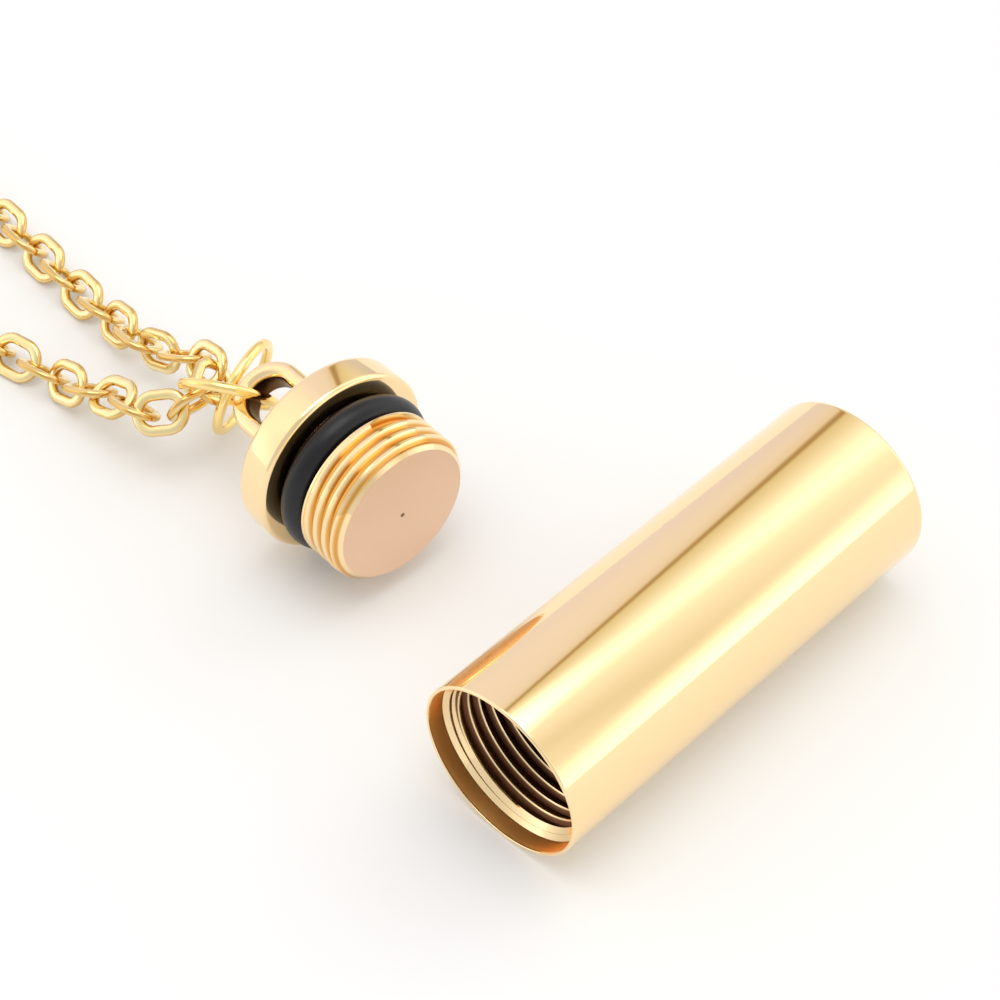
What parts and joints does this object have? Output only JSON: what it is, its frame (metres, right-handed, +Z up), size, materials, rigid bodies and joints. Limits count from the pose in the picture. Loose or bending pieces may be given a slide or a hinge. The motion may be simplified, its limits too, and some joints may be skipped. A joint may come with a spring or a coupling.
{
  "type": "keepsake urn pendant",
  "caption": "Round tube-shaped keepsake urn pendant laid open: threaded hollow tube, screw cap with sealing ring and eye beside it, jump rings and a fine cable chain in a closed loop.",
  "frame": {"origin": "middle of the floor of the whole necklace's box, on the surface that it lies on", "axes": "+Z up from the surface; +Y from the pendant up the loop towards the clasp; +X along the tube from its open mouth to its closed end"},
  "size_m": [0.1144, 0.2404, 0.0109],
  "materials": {
    "polished_gold": "mirror polished pale gold plating, turned faces satin",
    "gold_wire": "polished yellow gold plated wire",
    "black_rubber": "smooth black rubber with a soft shine"
  },
  "bodies": {
    "root": {"tube": "polished_gold", "cap": "polished_gold", "sealing_ring": "black_rubber", "eye_ring": "gold_wire", "spare_ring": "gold_wire", "chain": "gold_wire", "chain_run": "gold_wire", "clasp": "gold_wire"}
  },
  "joints": []
}
